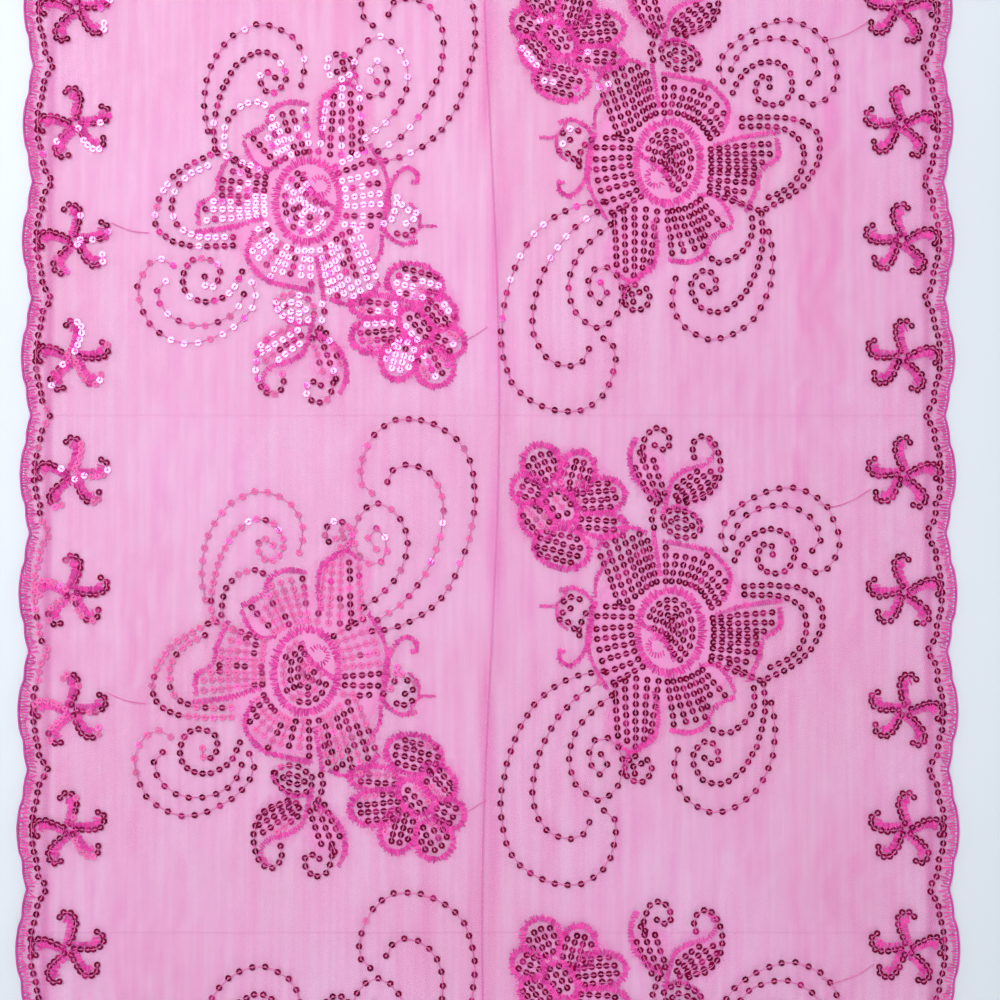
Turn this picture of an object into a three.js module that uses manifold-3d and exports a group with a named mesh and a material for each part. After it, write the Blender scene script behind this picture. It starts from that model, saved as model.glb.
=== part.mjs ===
// A long sequinned net shawl, laid out flat on its back.
// Units are millimetres. X runs across the shawl, Y along it and Z up.
// The origin is at the middle of the flat underside.

import Module from 'manifold-3d';
import * as THREE from 'three';
import { mergeVertices } from 'three/addons/utils/BufferGeometryUtils.js';

const wasm = await Module();
wasm.setup();

// ---- Driving dimensions ----

// The layout: one large spray on each side to a repeat, and a row of stars down each border.
const WIDTH = 500;
const STAR_PITCH = 63;
const STARS_PER_REPEAT = 4;
const REPEATS = 6;
const REPEAT = STARS_PER_REPEAT * STAR_PITCH;
const END_MARGIN = 44;
const LENGTH = REPEATS * REPEAT + 2 * END_MARGIN;
const HALF_WIDTH = WIDTH / 2;
const HALF_LENGTH = LENGTH / 2;

// The cloth and what is worked on it.
const NET = 1.0;
const SEAM = 0.3;
const STITCHING = 0.6;
const SATIN_RISE = 0.3;
const WORK_BOTTOM = NET + SEAM;
const WORK_TOP = WORK_BOTTOM + STITCHING;
const RIM_TOP = WORK_TOP + SATIN_RISE;

// The edging laps over the edge of the net and comes down to the surface outside it.
const EDGING_BAND = 10;
const NET_EDGE = HALF_WIDTH - 9;
const HEM_DEPTH = 7;
const HEM_TURN = 2;
const HEM_SIDE_GAP = 0.6;
const FLAT_END = HALF_LENGTH - HEM_DEPTH - 1;
const END_EASE = 25;

// Stars and sprays.
const STAR_LINE = 222.5;
const STAR_FLAT = 203;
const SPRAY_LINE = 100;
const SPRAY_STAGGER = 10.5;
const SPRAY_HEAD = 110;
const SPRAY_FOOT = 85;

// The crease down the middle, from folding the shawl in half lengthwise.
const CREASE = { middle: 1.5, sway: 4.5, wave: 560, lead: 8, rise: 2, foot: 0.5, half: 2.5, reach: 9 };

// The creases across, from folding it in six.
const CROSS = { pitch: 275, each_way: 2, half: 3.5, rise: 0.8 };

// Lengthwise ripples in the clear strip between the sprays and the stars, with a valley before each.
const RIPPLES = [
  { middle: 168, rise: 0.9, sway: 2.4, wave: 470, lead: 60 },
  { middle: 182, rise: 1.2, sway: 3.0, wave: 540, lead: 150 },
  { middle: 196, rise: 0.7, sway: 2.0, wave: 430, lead: 240 },
];
const VALLEYS = [161, 175, 189];
const QUIET_SIDE = 0.55;
const SWELL = { least: 0.2, most: 1 };

// Slack ripples between one spray and the next on the same side.
const SLACK = [
  { at: 30, rise: 0.5 },
  { at: 62, rise: 1.1 },
  { at: 95, rise: 0.3 },
  { at: 128, rise: 0.9 },
];

// Where the sections across the net are taken in each repeat, from the middle between two sprays.
const SECTIONS = [-56.5, -33.5, -10.5, 10.5, 33.5, 56.5, 126];
const SLACK_FROM = 5;
const SLACK_TO = 40;

// One scallop of the edging: a wide lobe between two small shoulders, with a notch at each pitch.
const SCALLOP = [
  { along: 0, short: 5.3 },
  { along: 9, short: 3.3 },
  { along: 24, short: 0 },
  { along: 39, short: 0 },
  { along: 54, short: 3.3 },
];

// One arm of a star: straight out from the middle, then hooked round to one side.
const STAR_ARM = [
  { out: 4.5, side: -2.8 },
  { out: 18.4, side: -2.4 },
  { out: 17.0, side: 8.2 },
  { out: 11.0, side: 3.4 },
];
const STAR_ARM_TURNS = [105, 20, -45, -120, -180];

// The worked shapes of one spray, placed from the middle of its heart: where each one's middle is, which
// way its length lies in degrees, and its length and width.
const PETALS = [
  { x: -25, y: 34, turn: 122, length: 52, width: 36 },
  { x: 16, y: 33, turn: 65, length: 40, width: 46 },
  { x: 41, y: -4, turn: -6, length: 38, width: 44 },
  { x: 19, y: -36, turn: -60, length: 42, width: 42 },
  { x: -20, y: -37, turn: -76, length: 58, width: 27 },
  { x: -30, y: -5, turn: 180, length: 28, width: 44 },
];
const LEAVES = [
  { x: -9, y: 84, turn: 112, length: 35, width: 19 },
  { x: 19, y: 86, turn: 48, length: 36, width: 23 },
  { x: -54, y: 11, turn: 165, length: 34, width: 21 },
];
const CURLS = [
  { x: -6, y: 99, radius: 7.5 },
  { x: 17, y: 100, radius: 7 },
  { x: -14.5, y: -68, radius: 9 },
  { x: -49, y: -8, radius: 9 },
  { x: 6, y: 61.5, radius: 14 },
];
const HEART = { x: 0, y: 0, turn: 80, length: 47, width: 41 };
const FLOWER = { x: -55, y: 67, radius: 33, notch: 25, petals: 6 };
const BLOSSOM_POINTS = 36;
const LEAF_POINTS = 7;
const CURL_POINTS = 5;
const HEART_POINTS = 8;

// ---- Materials ----

const netPink = new THREE.MeshStandardMaterial({ name: 'net_pink', color: 0xeeaad4, roughness: 0.8 });
const satinPink = new THREE.MeshStandardMaterial({ name: 'satin_pink', color: 0xeb46af, roughness: 0.45 });
const sequinRed = new THREE.MeshStandardMaterial({ name: 'sequin_red', color: 0xa01c50, roughness: 0.25 });

// ---- Solids ----

// Joins rings of equal point counts, set along Y, into one closed body with capped ends. Each ring runs
// anticlockwise seen along +Y, with X to the right and Z up.
function loft(rings) {
  const count = rings[0].length;
  const last = (rings.length - 1) * count;
  const faces = [];
  for (let start = 0; start < last; start += count) {
    for (let i = 0; i < count; i += 1) {
      const here = start + i;
      const next = start + (i + 1) % count;
      faces.push(here, next + count, next);
      faces.push(here, here + count, next + count);
    }
  }
  const outline = rings[0].map((point) => new THREE.Vector2(point.x, point.z));
  for (const [i, j, k] of THREE.ShapeUtils.triangulateShape(outline, [])) {
    faces.push(i, j, k);
    faces.push(last + i, last + k, last + j);
  }
  const geometry = new THREE.BufferGeometry().setFromPoints(rings.flat());
  geometry.setIndex(faces);
  return geometry;
}

// A flat slab of the given outline, from one height up to another.
function slab(outline, bottom, top) {
  const geometry = new THREE.ExtrudeGeometry(new THREE.Shape(outline), {
    depth: top - bottom,
    bevelEnabled: false,
  });
  geometry.translate(0, 0, bottom);
  return geometry;
}

function toSolid(geometry) {
  const bare = geometry.clone();
  bare.deleteAttribute('normal');
  bare.deleteAttribute('uv');
  const merged = mergeVertices(bare);
  return new wasm.Manifold(new wasm.Mesh({
    numProp: 3,
    vertProperties: Float32Array.from(merged.attributes.position.array),
    triVerts: Uint32Array.from(merged.index.array),
  }));
}

function toGeometry(solid) {
  const mesh = solid.getMesh();
  const geometry = new THREE.BufferGeometry();
  geometry.setAttribute('position', new THREE.BufferAttribute(mesh.vertProperties, mesh.numProp));
  geometry.setIndex(new THREE.BufferAttribute(mesh.triVerts, 1));
  return geometry;
}

function joined(geometries) {
  const solids = geometries.map(toSolid);
  return toGeometry(solids.reduce((whole, solid) => whole.add(solid)));
}

// ---- Where things lie ----

function wander({ sway, wave, lead }, y) {
  return sway * Math.cos((2 * Math.PI * (y - lead)) / wave);
}

// The hearts of the sprays on one side: +1 for the right and -1 for the left, which is turned half round.
function sprayHearts(side) {
  return Array.from({ length: REPEATS }, (_, i) => ({
    x: side * SPRAY_LINE,
    y: (i - (REPEATS - 1) / 2) * REPEAT + side * SPRAY_STAGGER,
  }));
}

// Whether the net is clear of sprays on one side at a distance along the shawl.
function clearOfSprays(side, y) {
  return sprayHearts(side).every((heart) => {
    const up = side * (y - heart.y);
    return up < -SPRAY_FOOT || up > SPRAY_HEAD;
  });
}

// The distance along, measured from the nearest middle between two repeats.
function withinRepeat(y) {
  return y - Math.round(y / REPEAT) * REPEAT;
}

function slackAmount(side, y) {
  const from = side * withinRepeat(y);
  return from > SLACK_FROM && from < SLACK_TO ? 1 : 0;
}

function crossRise(y) {
  const nearest = Math.round(y / CROSS.pitch);
  const off = Math.abs(y - nearest * CROSS.pitch);
  return Math.abs(nearest) <= CROSS.each_way && off < CROSS.half ? CROSS.rise : 0;
}

// How much of their height the folds keep: they flatten out before they reach the hems.
function endEase(y) {
  return THREE.MathUtils.clamp((FLAT_END - Math.abs(y)) / END_EASE, 0, 1);
}

// ---- The net ----

// The columns of one side's section, from the middle outwards: how far out, and how high over the flat.
function sideColumns(side, y) {
  const cross = crossRise(y);
  const core = clearOfSprays(side, y) ? cross : 0;
  const strength = side > 0 ? 1 : QUIET_SIDE;
  const columns = [{ out: CREASE.reach, rise: core }];
  for (const { at, rise } of SLACK) {
    columns.push({ out: at, rise: core + rise * slackAmount(side, y) });
  }
  RIPPLES.forEach((ripple, i) => {
    const shift = wander(ripple, side * y);
    const swell = THREE.MathUtils.mapLinear(shift, -ripple.sway, ripple.sway, SWELL.least, SWELL.most);
    columns.push({ out: VALLEYS[i] + shift / 2, rise: cross });
    columns.push({ out: ripple.middle + shift, rise: cross + strength * swell * ripple.rise });
  });
  columns.push({ out: STAR_FLAT, rise: 0 });
  columns.push({ out: NET_EDGE, rise: 0 });
  return columns.map(({ out, rise }) => new THREE.Vector3(side * out, y, NET + rise * endEase(y)));
}

function netSection(y) {
  const middle = CREASE.middle + wander(CREASE, y);
  const foot = (CREASE.foot + crossRise(y) / 2) * endEase(y);
  return [
    new THREE.Vector3(-NET_EDGE, y, 0),
    new THREE.Vector3(NET_EDGE, y, 0),
    ...sideColumns(1, y).reverse(),
    new THREE.Vector3(middle + CREASE.half, y, NET + foot),
    new THREE.Vector3(middle, y, NET + CREASE.rise * endEase(y)),
    new THREE.Vector3(middle - CREASE.half, y, NET + foot),
    ...sideColumns(-1, y),
  ];
}

function netSectionPlaces() {
  const end = HALF_LENGTH - HEM_TURN;
  const places = [-end, -FLAT_END, FLAT_END, end];
  for (let repeat = -REPEATS / 2; repeat <= REPEATS / 2; repeat += 1) {
    places.push(...SECTIONS.map((from) => repeat * REPEAT + from));
  }
  for (let i = -CROSS.each_way; i <= CROSS.each_way; i += 1) {
    places.push(i * CROSS.pitch - CROSS.half, i * CROSS.pitch, i * CROSS.pitch + CROSS.half);
  }
  return places.filter((y) => Math.abs(y) <= end).sort((a, b) => a - b);
}

function netPanel() {
  return loft(netSectionPlaces().map(netSection));
}

// ---- The borders ----

// One star's outline. The two borders mirror each other, so side turns the hooks the other way.
function starOutline(side, y) {
  return STAR_ARM_TURNS.flatMap((turn) => {
    const angle = THREE.MathUtils.degToRad(turn);
    return STAR_ARM.map(({ out, side: hook }) => new THREE.Vector2(
      side * (STAR_LINE + out * Math.cos(angle) + hook * Math.sin(angle)),
      y + out * Math.sin(angle) - hook * Math.cos(angle),
    ));
  });
}

// A section of the edging: over the net it is a band, and past the net's edge it comes down to the surface.
function edgingSection(side, y, short) {
  const outer = HALF_WIDTH - short;
  const points = [
    [outer - EDGING_BAND, WORK_BOTTOM],
    [NET_EDGE + SEAM, WORK_BOTTOM],
    [NET_EDGE + SEAM, 0],
    [outer, 0],
    [outer, RIM_TOP],
    [outer - EDGING_BAND, WORK_TOP],
  ];
  const ring = points.map(([x, z]) => new THREE.Vector3(side * x, y, z));
  return side > 0 ? ring : ring.reverse();
}

function edging(side) {
  const rings = [];
  const scallops = Math.ceil(HALF_LENGTH / STAR_PITCH);
  for (let i = -scallops; i < scallops; i += 1) {
    for (const { along, short } of SCALLOP) {
      const y = i * STAR_PITCH + along;
      if (Math.abs(y) < HALF_LENGTH) {
        rings.push(edgingSection(side, y, short));
      }
    }
  }
  rings.unshift(edgingSection(side, -HALF_LENGTH, 0));
  rings.push(edgingSection(side, HALF_LENGTH, 0));
  const stars = [];
  const count = REPEATS * STARS_PER_REPEAT;
  for (let i = 0; i < count; i += 1) {
    const y = (i - (count - 1) / 2) * STAR_PITCH;
    stars.push(slab(starOutline(side, y), WORK_BOTTOM, WORK_TOP));
  }
  return joined([loft(rings), ...stars]);
}

// A narrow hem at one end, between the two edgings.
function hem(end) {
  const reach = HALF_WIDTH - EDGING_BAND - HEM_SIDE_GAP;
  const outline = [
    new THREE.Vector2(HALF_LENGTH - HEM_DEPTH, WORK_BOTTOM),
    new THREE.Vector2(HALF_LENGTH - HEM_TURN + SEAM, WORK_BOTTOM),
    new THREE.Vector2(HALF_LENGTH - HEM_TURN + SEAM, 0),
    new THREE.Vector2(HALF_LENGTH, 0),
    new THREE.Vector2(HALF_LENGTH, WORK_TOP),
    new THREE.Vector2(HALF_LENGTH - HEM_DEPTH, WORK_TOP),
  ];
  const geometry = slab(outline, -reach, reach);
  geometry.rotateX(Math.PI / 2);
  geometry.rotateZ(end * Math.PI / 2);
  return geometry;
}

// ---- The sprays ----

function ovalOutline({ x, y, turn, length, width }, points) {
  const tilt = THREE.MathUtils.degToRad(turn);
  const curve = new THREE.EllipseCurve(x, y, length / 2, width / 2, 0, 2 * Math.PI, false, tilt);
  return curve.getPoints(points).slice(1);
}

function curlOutline({ x, y, radius }) {
  return ovalOutline({ x, y, turn: 0, length: 2 * radius, width: 2 * radius }, CURL_POINTS);
}

// How far an oval reaches from the heart's middle in one direction, or 0 where it lies another way.
function ovalReach({ x, y, turn, length, width }, angle) {
  const tilt = THREE.MathUtils.degToRad(turn);
  const middle = new THREE.Vector2(x, y).rotateAround(new THREE.Vector2(), -tilt);
  const shrink = new THREE.Vector2(2 / length, 2 / width);
  const start = middle.negate().multiply(shrink);
  const step = new THREE.Vector2(Math.cos(angle - tilt), Math.sin(angle - tilt)).multiply(shrink);
  const slope = start.dot(step);
  const room = slope * slope - step.lengthSq() * (start.lengthSq() - 1);
  return room < 0 ? 0 : Math.max(0, (Math.sqrt(room) - slope) / step.lengthSq());
}

// The blossom's outline is its farthest petal in each direction.
function blossomOutline() {
  return Array.from({ length: BLOSSOM_POINTS }, (_, i) => {
    const angle = (2 * Math.PI * i) / BLOSSOM_POINTS;
    const reach = Math.max(...[HEART, ...PETALS].map((oval) => ovalReach(oval, angle)));
    return new THREE.Vector2(reach * Math.cos(angle), reach * Math.sin(angle));
  });
}

// A flower's outline: each petal has two outer points, and the notch between it and the next has one.
function flowerOutline({ x, y, radius, notch, petals }) {
  return Array.from({ length: 3 * petals }, (_, i) => {
    const angle = (2 * Math.PI * i) / (3 * petals);
    const reach = i % 3 === 0 ? notch : radius;
    return new THREE.Vector2(x + reach * Math.cos(angle), y + reach * Math.sin(angle));
  });
}

function sprayWork() {
  const flat = [
    blossomOutline(),
    ...LEAVES.map((leaf) => ovalOutline(leaf, LEAF_POINTS)),
    ...CURLS.map(curlOutline),
    flowerOutline(FLOWER),
  ];
  return joined([
    ...flat.map((outline) => slab(outline, WORK_BOTTOM, WORK_TOP)),
    slab(ovalOutline(HEART, HEART_POINTS), WORK_BOTTOM, RIM_TOP),
  ]);
}

// ---- The shawl ----

const shawl = new THREE.Group();

function piece(name, geometry, material) {
  const mesh = new THREE.Mesh(geometry, material);
  mesh.name = name;
  shawl.add(mesh);
  return mesh;
}

piece('net_panel', netPanel(), netPink);
piece('edging_left', edging(-1), satinPink);
piece('edging_right', edging(1), satinPink);
piece('hem_head', hem(1), netPink);
piece('hem_foot', hem(-1), netPink);

const spray = sprayWork();
for (const [name, side] of [['right', 1], ['left', -1]]) {
  sprayHearts(side).forEach((heart, i) => {
    const mesh = piece(`spray_${name}_${i + 1}`, spray, sequinRed);
    mesh.position.set(heart.x, heart.y, 0);
    mesh.rotation.z = side > 0 ? 0 : Math.PI;
  });
}

export default shawl;
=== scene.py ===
"""The sequinned net shawl, laid out flat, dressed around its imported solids.

Sizes are in metres unless a name ends in _MM, but the folds of the net, and the points and ovals of a
spray, a star and a scallop, are in millimetres. Each motif is drawn once, from its own middle, and set out
along the shawl by loops.
"""

import math
import random

import bmesh
import bpy
from mathutils import Euler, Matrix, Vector, noise


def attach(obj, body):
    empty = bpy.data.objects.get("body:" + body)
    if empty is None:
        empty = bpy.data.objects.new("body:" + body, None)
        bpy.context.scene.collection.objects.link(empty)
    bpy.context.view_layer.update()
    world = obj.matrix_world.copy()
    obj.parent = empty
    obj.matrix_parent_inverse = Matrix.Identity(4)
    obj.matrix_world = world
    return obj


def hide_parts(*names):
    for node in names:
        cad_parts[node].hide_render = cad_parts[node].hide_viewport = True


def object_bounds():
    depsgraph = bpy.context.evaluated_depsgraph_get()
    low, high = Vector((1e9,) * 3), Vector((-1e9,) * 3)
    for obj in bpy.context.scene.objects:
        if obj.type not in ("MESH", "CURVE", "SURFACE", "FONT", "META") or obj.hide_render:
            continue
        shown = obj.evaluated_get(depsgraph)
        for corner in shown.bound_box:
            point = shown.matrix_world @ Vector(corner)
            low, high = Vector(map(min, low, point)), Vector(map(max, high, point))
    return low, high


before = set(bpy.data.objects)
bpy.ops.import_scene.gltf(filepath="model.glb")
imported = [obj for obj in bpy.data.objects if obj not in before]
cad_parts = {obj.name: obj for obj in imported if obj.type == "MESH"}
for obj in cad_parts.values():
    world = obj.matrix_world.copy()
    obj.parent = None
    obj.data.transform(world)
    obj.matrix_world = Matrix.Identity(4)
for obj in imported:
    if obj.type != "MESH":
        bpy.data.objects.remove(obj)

MM = 0.001
BODY = "root"
CAD_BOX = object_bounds()
random.seed(11)

# ---- The layout, as in the solids ----

HALF_WIDTH = CAD_BOX[1][0]
HALF_LENGTH = CAD_BOX[1][1]
REPEATS = 6
STARS_PER_REPEAT = 4
STAR_PITCH = 63 * MM
REPEAT = STARS_PER_REPEAT * STAR_PITCH
STAR_LINE = 222.5 * MM
SPRAY_LINE = 100 * MM
SPRAY_STAGGER = 10.5 * MM
HEM_DEPTH = 7 * MM

# ---- The net's form ----

NET_LEVEL = 0.85 * MM
NET_WALL = 0.22 * MM
GRID_ACROSS = 4.4 * MM
GRID_ALONG = 6 * MM
NET_SHORT = 0.8 * MM
NET_NARROW = 1.2 * MM
CREASE_GRID = {"span": 12 * MM, "power": 1.1}
SLOPE_STEP = 1.5 * MM

CREASE = {"middle": 1.5, "sway": 4.5, "wave": 560, "lead": 8, "rise": 1.5, "left": 2.2, "right": 5.5}
STEEP_SHOWS = 2.4
# The line near each border along which the net is drawn denser and darker: partly puckered net, partly
# painted shade.
PUCKER_SHADE_LINE = 235.5 * MM
CROSS = {"pitch": 275, "each_way": 2, "half": 5.5, "rise": 0.55, "reach": 203}
RIPPLES = [
    {"middle": 168, "rise": 0.9, "sway": 2.4, "wave": 470, "lead": 60, "half": 6},
    {"middle": 182, "rise": 1.2, "sway": 3.0, "wave": 540, "lead": 150, "half": 6},
    {"middle": 196, "rise": 0.7, "sway": 2.0, "wave": 430, "lead": 240, "half": 6},
]
QUIET_SIDE = 0.55
SLACK = [
    {"at": 30, "rise": 0.5, "half": 15},
    {"at": 62, "rise": 1.1, "half": 15},
    {"at": 95, "rise": 0.3, "half": 15},
    {"at": 128, "rise": 0.9, "half": 15},
]
SLACK_MIDDLE = 23.5
SLACK_HALF = 33
STREAKS = [
    {"across": 62, "along": 4.5, "rise": 0.55},
    {"across": 150, "along": 9, "rise": 0.26},
]
STREAK_BEND = {"by": 8 * MM, "across": 5, "along": 9, "level": 4}
STREAK_EDGE = 0.45
STREAK_THIN = 2.2
END_EASE = 25

# ---- Thread and sequins ----

SEQUIN_RADIUS = 1.86 * MM
SEQUIN_HOLE = 0.6 * MM
SEQUIN_THICK = 0.08 * MM
SEQUIN_SIDES = 7
SEQUIN_LIFT = 0.28 * MM
STITCH_PITCH_MM = 1.12
STITCH_LIFT = 0.10 * MM
STITCH_WIDE_MM = 0.84
STITCH_HIGH = 0.42 * MM
STITCH_LENGTHS = (0.65, 1.3)
STITCH_WIDTHS = (0.8, 1.15)
STITCH_TONES = (0, 0.8)
STITCH_STRAY = 0.2
STITCH_RIDGE = 0.92
STITCH_FOOT = 0.577
THREAD_RADIUS = 0.24 * MM
THREAD_LIFT = 0.48 * MM
CORD_RADIUS = 0.58 * MM
DENSE_PITCH_MM = 4.6


def wander(fold, y_mm):
    return fold["sway"] * math.cos(2 * math.pi * (y_mm - fold["lead"]) / fold["wave"])


def ridge(offset, left, right):
    """How much of a fold's height is left at an offset from its crest."""
    part = -offset / left if offset < 0 else offset / right
    if part >= 1:
        return 0
    return (1 - part) ** 1.5


def swell(offset, half):
    part = abs(offset) / half
    return 0 if part >= 1 else 0.5 + 0.5 * math.cos(math.pi * part)


def within_repeat(y_mm):
    length = REPEAT / MM
    return y_mm - round(y_mm / length) * length


def net_height(x, y):
    """The height of the net's upper face."""
    x_mm, y_mm = x / MM, y / MM
    side = 1 if x_mm > 0 else -1
    out = abs(x_mm)
    ease = max(0, min(1, (HALF_LENGTH / MM - HEM_DEPTH / MM - 1 - abs(y_mm)) / END_EASE))
    offset = x_mm - CREASE["middle"] - wander(CREASE, y_mm)
    rise = CREASE["rise"] * ridge(offset, CREASE["left"], CREASE["right"])
    nearest = round(y_mm / CROSS["pitch"])
    if abs(nearest) <= CROSS["each_way"] and out < CROSS["reach"]:
        rise += CROSS["rise"] * ridge(y_mm - nearest * CROSS["pitch"], CROSS["half"], CROSS["half"])
    for fold in RIPPLES:
        shift = wander(fold, side * y_mm)
        strength = (1 if side > 0 else QUIET_SIDE) * (0.6 + 0.4 * shift / fold["sway"])
        rise += strength * fold["rise"] * swell(out - fold["middle"] - shift, fold["half"])
    slack = swell(side * within_repeat(y_mm) - SLACK_MIDDLE, SLACK_HALF)
    for fold in SLACK:
        rise += slack * fold["rise"] * swell(out - fold["at"], fold["half"])
    for streak in STREAKS:
        sway = Vector((x * STREAK_BEND["across"], y * STREAK_BEND["along"], STREAK_BEND["level"]))
        bent = x + STREAK_BEND["by"] * noise.noise(sway)
        lift = noise.noise(Vector((bent * streak["across"], y * streak["along"], streak["across"])))
        rise += streak["rise"] * (1 - abs(lift) * STREAK_THIN) if abs(lift) < STREAK_EDGE else 0
    return NET_LEVEL + rise * ease * MM


# ---- Curves and outlines, in millimetres ----


def smooth_line(points, steps=12):
    """A smooth line through the given points."""
    last = len(points) - 1
    line = []
    for i in range(last):
        a, b, c, d = (points[max(0, min(last, i + k))] for k in (-1, 0, 1, 2))
        for step in range(steps):
            t = step / steps
            weights = (
                -t + 2 * t * t - t**3,
                2 - 5 * t * t + 3 * t**3,
                t + 4 * t * t - 3 * t**3,
                t**3 - t * t,
            )
            line.append(Vector(sum(0.5 * w * p[k] for w, p in zip(weights, (a, b, c, d))) for k in (0, 1)))
    line.append(Vector(points[-1]))
    return line


def spaced(line, pitch, start=0.0):
    """Points along a line at an even pitch, each with its heading."""
    marks = []
    due = start
    done = 0.0
    for a, b in zip(line, line[1:]):
        length = (b - a).length
        while length > 0 and due <= done + length:
            marks.append((a.lerp(b, (due - done) / length), math.atan2(b.y - a.y, b.x - a.x)))
            due += pitch
        done += length
    return marks


def even_pitch(line, pitch):
    """The pitch nearest to the given one that fits a whole number of times along a line."""
    length = sum((b - a).length for a, b in zip(line, line[1:]))
    return length / max(1, round(length / pitch)) * 0.9999


def oval_point(oval, angle, shrink=0.0):
    """A point on an oval's outline, drawn in by shrink."""
    turn = math.radians(oval["turn"])
    along = (oval["length"] / 2 - shrink) * math.cos(angle)
    across = (oval["width"] / 2 - shrink) * math.sin(angle)
    return Vector((
        oval["x"] + along * math.cos(turn) - across * math.sin(turn),
        oval["y"] + along * math.sin(turn) + across * math.cos(turn),
    ))


def oval_arc(oval, start, end, shrink=0.0, steps=48):
    angles = [math.radians(start + (end - start) * i / steps) for i in range(steps + 1)]
    return [oval_point(oval, angle, shrink) for angle in angles]


def within_oval(oval, point, margin):
    """Whether a point lies inside an oval, at least the margin from its outline."""
    turn = math.radians(oval["turn"])
    dx, dy = point.x - oval["x"], point.y - oval["y"]
    along = dx * math.cos(turn) + dy * math.sin(turn)
    across = -dx * math.sin(turn) + dy * math.cos(turn)
    return (along / (oval["length"] / 2 - margin)) ** 2 + (across / (oval["width"] / 2 - margin)) ** 2 < 1


class Work:
    """What is worked on the net in one motif: sequins, satin stitches and running threads."""

    def __init__(self):
        self.runs = []
        self.stitches = []
        self.jumps = []
        self.cords = []

    def run(self, line, pitch, start=0.0):
        """Sequins along a line with their running thread."""
        marks = spaced(line, pitch, start)
        if marks:
            self.runs.append(marks)

    def comb(self, line, width, inward=1, ragged=0.75, pitch=STITCH_PITCH_MM, wide=STITCH_WIDE_MM):
        """Satin stitches across a band beside a line: inward 1 puts it on the left of the line.

        Ragged is the share of a stitch's uneven length that shows at the line.
        """
        for point, heading in spaced(line, pitch):
            length = width * random.uniform(*STITCH_LENGTHS)
            across = heading + inward * math.pi / 2
            reach = length / 2 + (width - length) * ragged
            middle = point + Vector((math.cos(across), math.sin(across))) * reach
            self.stitches.append((middle, across, length, wide))


# ---- One spray, from the middle of its heart ----

HEART = {"x": -3, "y": 0, "turn": 86, "length": 48.5, "width": 39}
HEART_RING_MM = 4.2
HEART_ARCS = [7.3, 11.3, 15.0, 18.0]
HEART_ARC_ENDS = (-216, 144)
HEART_BREAK = {"at": Vector((-19, 7)), "toward": Vector((0.775, 0.632)), "margin": 2.2}
HEART_CURL = {"x": -9.5, "y": -8, "turn": 0, "length": 7, "width": 7, "end": 330, "satin": 2.8}
FAN_GAP_MM = 1.2

FANS = [
    {"rows": 8, "satin": 2.6, "inner": [(-23, 14), (-24, 2), (-22, -10), (-17, -20)],
     "outer": [(-44, 16), (-48, 0), (-46, -16), (-37, -32)]},
    {"rows": 5, "satin": 2.2, "inner": [(-34, -29), (-21, -25), (-7, -27)],
     "outer": [(-32, -60), (-25, -65), (-18, -63), (-12, -55)]},
    {"rows": 7, "satin": 2.8, "inner": [(-5, -27), (6, -25), (15, -20)],
     "outer": [(-3, -54), (9, -55), (18, -50), (21, -42), (32, -36)]},
    {"rows": 8, "satin": 2.8, "inner": [(19, -17), (20.5, -4), (20, 8)],
     "outer": [(40, -27), (46, -14), (48, -5), (57, 2), (57, 13)]},
    {"rows": 10, "satin": 2.8, "inner": [(20, 12), (14, 21), (5, 26), (-6, 27)],
     "outer": [(27, 16), (31, 30), (21, 43), (8, 47), (-7, 50)]},
    {"rows": 7, "satin": 2.6, "inner": [(-9, 27), (-15, 24), (-22, 18), (-31, 15)],
     "outer": [(-15, 54), (-24, 57), (-35, 55), (-43, 44)]},
]

FLOWER = [
    {"x": -79, "y": 76, "turn": 155, "length": 14, "width": 13, "rows": 3},
    {"x": -73.5, "y": 59, "turn": -50, "length": 19, "width": 13, "rows": 3},
    {"x": -71.4, "y": 89.4, "turn": 118, "length": 18, "width": 17, "rows": 4},
    {"x": -52.3, "y": 84.7, "turn": 75, "length": 20, "width": 16, "rows": 4},
    {"x": -60.5, "y": 44.5, "turn": -14, "length": 27, "width": 18, "rows": 4},
    {"x": -39.5, "y": 57, "turn": -5, "length": 24, "width": 10, "rows": 2},
    {"x": -40.7, "y": 72.5, "turn": 5, "length": 25, "width": 16, "rows": 4},
    {"x": -61, "y": 67, "turn": -50, "length": 18, "width": 11, "rows": 3},
]
FLOWER_SATIN_MM = 3.3
FLOWER_ROW_GAP_MM = 4.3
FLOWER_PITCH_MM = 4.2

BUD = {"x": 3.5, "y": 57.5, "turn": -18, "length": 27, "width": 20}
BUD_RINGS = [{"shrink": 3.0, "start": 0}, {"shrink": 7.5, "start": 20}]
LEAVES = [
    {"x": -14, "y": 84, "turn": 112, "length": 36, "width": 18, "rows": 3},
    {"x": 12.5, "y": 78.5, "turn": 33, "length": 33, "width": 19, "rows": 4},
]
LEAF_MARGIN_MM = 2.2
LEAF_STEM_SHARE = 0.62
SIDE_ROWS = [
    [(-59.5, 16), (-54.5, 18.5), (-49, 16)],
    [(-60, 10), (-55, 12.5)],
    [(-61.5, 6.5), (-56, 4), (-52.5, 0), (-50, -4)],
    [(-51, 1), (-49.5, 7), (-46, 11.5), (-41, 12.5)],
]

CURLS = [
    {"x": -20, "y": -73, "turn": 0, "length": 14, "width": 14, "start": 100, "end": 420},
    {"x": -20, "y": -73, "turn": 0, "length": 6, "width": 6, "start": 60, "end": 260},
]
LEAF_HOOKS = [
    [(-10.5, 99.5), (-5, 97), (-2.5, 102), (-7, 108.5), (-13.5, 107), (-17, 100), (-16.5, 93)],
    [(10.5, 93), (9.5, 99.5), (15, 104.5), (21.5, 100.5), (24.5, 89), (22, 78), (14.5, 71.5), (6, 70)],
]
BUD_STEM = [(-9, 73), (-10.5, 66), (-12.5, 60), (-10, 53)]

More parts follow.
